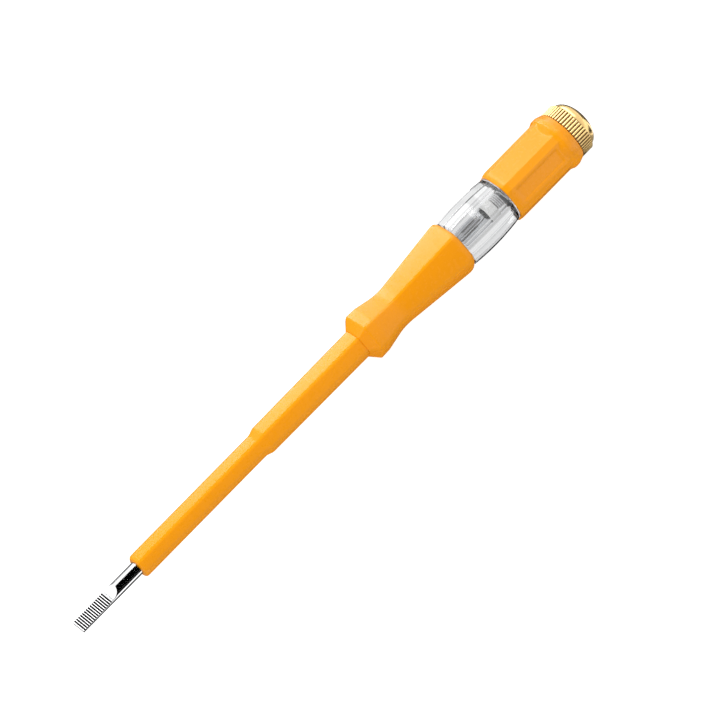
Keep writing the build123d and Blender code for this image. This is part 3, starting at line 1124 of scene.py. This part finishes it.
# The floor is a flat grid; it glows a little, as a lit table does, so shadows stay faint.
def buildFloor(setup):
    half = setup["floorSize"] / 2
    columns = setup["floorSquares"] + 1
    side = np.linspace(-half, half, columns)
    x, y = np.meshgrid(side, side, indexing="ij")
    points = np.stack([x, y, 0 * x], axis=-1).reshape(-1, 3)
    k = np.arange(setup["floorSquares"])
    a = (k[:, None] * columns + k[None, :]).ravel()
    faces = np.stack([a, a + columns, a + columns + 1, a + 1], axis=-1).tolist()
    mesh = bpy.data.meshes.new("paleFloor")
    mesh.from_pydata(points.tolist(), [], faces)
    floor = addObject("paleFloor", mesh)
    material = bpy.data.materials.new("palePaper")
    material.use_nodes = True
    shader = material.node_tree.nodes["Principled BSDF"]
    shader.inputs["Base Color"].default_value = (setup["floorShade"],) * 3 + (1,)
    shader.inputs["Roughness"].default_value = 0.9
    shader.inputs["Specular IOR Level"].default_value = 0.0
    shader.inputs["Emission Color"].default_value = (1, 1, 1, 1)
    shader.inputs["Emission Strength"].default_value = setup["floorGlow"]
    material.cycles.emission_sampling = "NONE"
    floor.data.materials.append(material)


# A sheet glows by its own attribute and is seen in reflections only, or through clear pieces only.
def glowSheet(name, points, faces, glow, throughClear=False):
    mesh = bpy.data.meshes.new(name)
    mesh.from_pydata(points, [], faces)
    strengths = np.ravel(glow).astype(np.float32)
    mesh.attributes.new("glow", "FLOAT", "POINT").data.foreach_set("value", strengths)
    sheet = addObject(name, mesh)
    material, tree = emptyMaterial(name)
    emission = addNode(tree, "ShaderNodeEmission")
    strength = addNode(tree, "ShaderNodeAttribute", attribute_name="glow").outputs["Fac"]
    join(tree, strength, emission.inputs["Strength"])
    join(tree, emission.outputs[0], addNode(tree, "ShaderNodeOutputMaterial").inputs["Surface"])
    material.cycles.emission_sampling = "NONE"
    sheet.data.materials.append(material)
    sheet.visible_camera = sheet.visible_diffuse = sheet.visible_shadow = sheet.visible_volume_scatter = False
    sheet.visible_glossy = not throughClear
    sheet.visible_transmission = throughClear


# A half tunnel stands over the tool and closes at both ends: its radius is straight near the tool, then
# shrinks as a quarter ellipse. Behind the tool it glows faintly at the blade, strongly at the grips and
# less beyond the cap, and darkens low down. In front it is black but for a faint glow by the upper
# grip. Opposite the cap and at the far end the glow is even all round. A slightly larger second tunnel
# of even grey is seen through the clear window only.
def buildTunnel(setup):
    degrees = np.arange(0, 181, 1.5)[None, :]
    # arcs crowd where the glow changes, most of all opposite the cap
    near = np.concatenate([np.arange(0.05, 0.22, 0.01), np.arange(0.22, 0.3, 0.006)])
    far = setup["tunnelStraight"] + setup["tunnelEnd"] * np.sin(np.linspace(0, math.pi / 2, 13))
    reach = np.concatenate([-far[::-1], near, far])[:, None]
    past = np.clip((np.abs(reach) - setup["tunnelStraight"]) / setup["tunnelEnd"], 0, 1)
    radius = setup["tunnelRadius"] * np.sqrt(1.0001 - past**2)
    turn = np.radians(degrees)
    points = np.stack(np.broadcast_arrays(reach, radius * np.cos(turn), radius * np.sin(turn)), axis=-1)
    points = points.reshape(-1, 3)
    columns = degrees.size
    a = (np.arange(reach.size - 1)[:, None] * columns + np.arange(columns - 1)[None, :]).ravel()
    faces = np.stack([a, a + 1, a + columns + 1, a + columns], axis=-1).tolist()

    def rise(start, soft):
        return smoothStep(setup[start], setup[start] + setup[soft], reach)

    atWindow = rise("windowFrom", "windowSoft")
    edge = setup["cardFrom"] * (1 - atWindow) + setup["windowCardFrom"] * atWindow
    inFront = smoothStep(edge - setup["cardSoft"], edge + setup["cardSoft"], degrees)
    atGrip = rise("gripFrom", "gripSoft")
    upGrip = rise("frontFrom", "frontSoft")
    atCap = rise("capFrom", "capFromSoft") * (1 - rise("capTo", "capToSoft")) + rise("endFrom", "endSoft")
    beyond = rise("capTo", "farSoft")
    grip = setup["gripGlow"] * (1 - beyond) + setup["farGlow"] * beyond
    behind = setup["bladeGlow"] * (1 - atGrip) + grip * atGrip
    glow = behind * (1 - inFront) + setup["frontGlow"] * upGrip * inFront
    dimmest = setup["bladeLowGlow"]
    bladeLow = dimmest + (1 - dimmest) * smoothStep(*setup["bladeLow"], degrees)
    low = np.where(atGrip > 0.5, smoothStep(*setup["gripLow"], degrees), bladeLow)
    glow = glow * low * (1 - atCap) + setup["capGlow"] * atCap
    glowSheet("lightTunnel", points.tolist(), faces, glow)
    room = (points * setup["roomSize"]).tolist()
    glowSheet("greyRoom", room, faces, np.full(len(points), setup["roomGlow"]), True)


def buildCards(cards, height, name, throughClear=False):
    points, glow = [], []
    for (left, right), (near, far), shade in cards:
        points += [(left, near, height), (right, near, height), (right, far, height), (left, far, height)]
        glow += [shade] * 4
    faces = np.arange(len(points)).reshape(-1, 4).tolist()
    glowSheet(name, points, faces, glow, throughClear)


def buildLight(setup):
    world = bpy.data.worlds.new("softRoom")
    world.use_nodes = True
    background = world.node_tree.nodes["Background"]
    background.inputs["Color"].default_value = (1, 1, 1, 1)
    background.inputs["Strength"].default_value = setup["worldStrength"]
    world.cycles.sampling_method = "NONE"
    bpy.context.scene.world = world
    bearing = math.radians(setup["keyAngle"])
    toLight = Vector((setup["keyLean"], math.cos(bearing), math.sin(bearing))).normalized()
    lamp = bpy.data.lights.new("keyLight", "AREA")
    lamp.shape = "SQUARE"
    lamp.size = setup["keySize"]
    lamp.energy = setup["keyPower"]
    key = addObject("keyLight", lamp)
    key.location = toLight * setup["keyDistance"]
    key.rotation_euler = toLight.to_track_quat("Z", "Y").to_euler()
    key.visible_glossy = False
    key.visible_transmission = False


# The camera looks along a direction given by how far the tool tips towards it (tilt), how far it is
# rolled (bearing of the view round the tool's axis) and the tool's slope in the frame.
view = {
    "tilt": 14.0,
    "bearing": 133.0,
    "slope": 45.5,
    "distance": 2.0,
    "lens": 388.6,
    "shiftRight": 7.0,
    "shiftUp": 2.37,
}


def buildCamera(setup):
    tilt, bearing, slope = (math.radians(setup[label]) for label in ("tilt", "bearing", "slope"))
    back = Vector((-math.sin(tilt), math.cos(tilt) * math.cos(bearing), math.cos(tilt) * math.sin(bearing)))
    along = Vector((1, 0, 0))
    along = (along - along.dot(back) * back).normalized()
    beside = back.cross(along)
    right = math.cos(slope) * along - math.sin(slope) * beside
    up = math.sin(slope) * along + math.cos(slope) * beside
    middle = Vector((tipX + capEnd / 2 * mm, 0, axisZ))
    aim = middle + setup["shiftRight"] * mm * right + setup["shiftUp"] * mm * up
    data = bpy.data.cameras.new("studioCamera")
    data.lens = setup["lens"]
    data.clip_start, data.clip_end = 0.05, 20
    camera = addObject("studioCamera", data)
    turn = Matrix((right, up, back)).transposed().to_4x4()
    camera.matrix_world = Matrix.Translation(aim + setup["distance"] * back) @ turn
    bpy.context.scene.camera = camera


buildFloor(studio)
buildTunnel(studio)
buildCards(darkCards, studio["cardHeight"], "darkCards")
buildCards(greyCards, studio["cardHeight"], "greyCards", True)
buildLight(studio)
buildCamera(view)
bpy.context.scene.view_settings.view_transform = "Standard"
print("studio set")
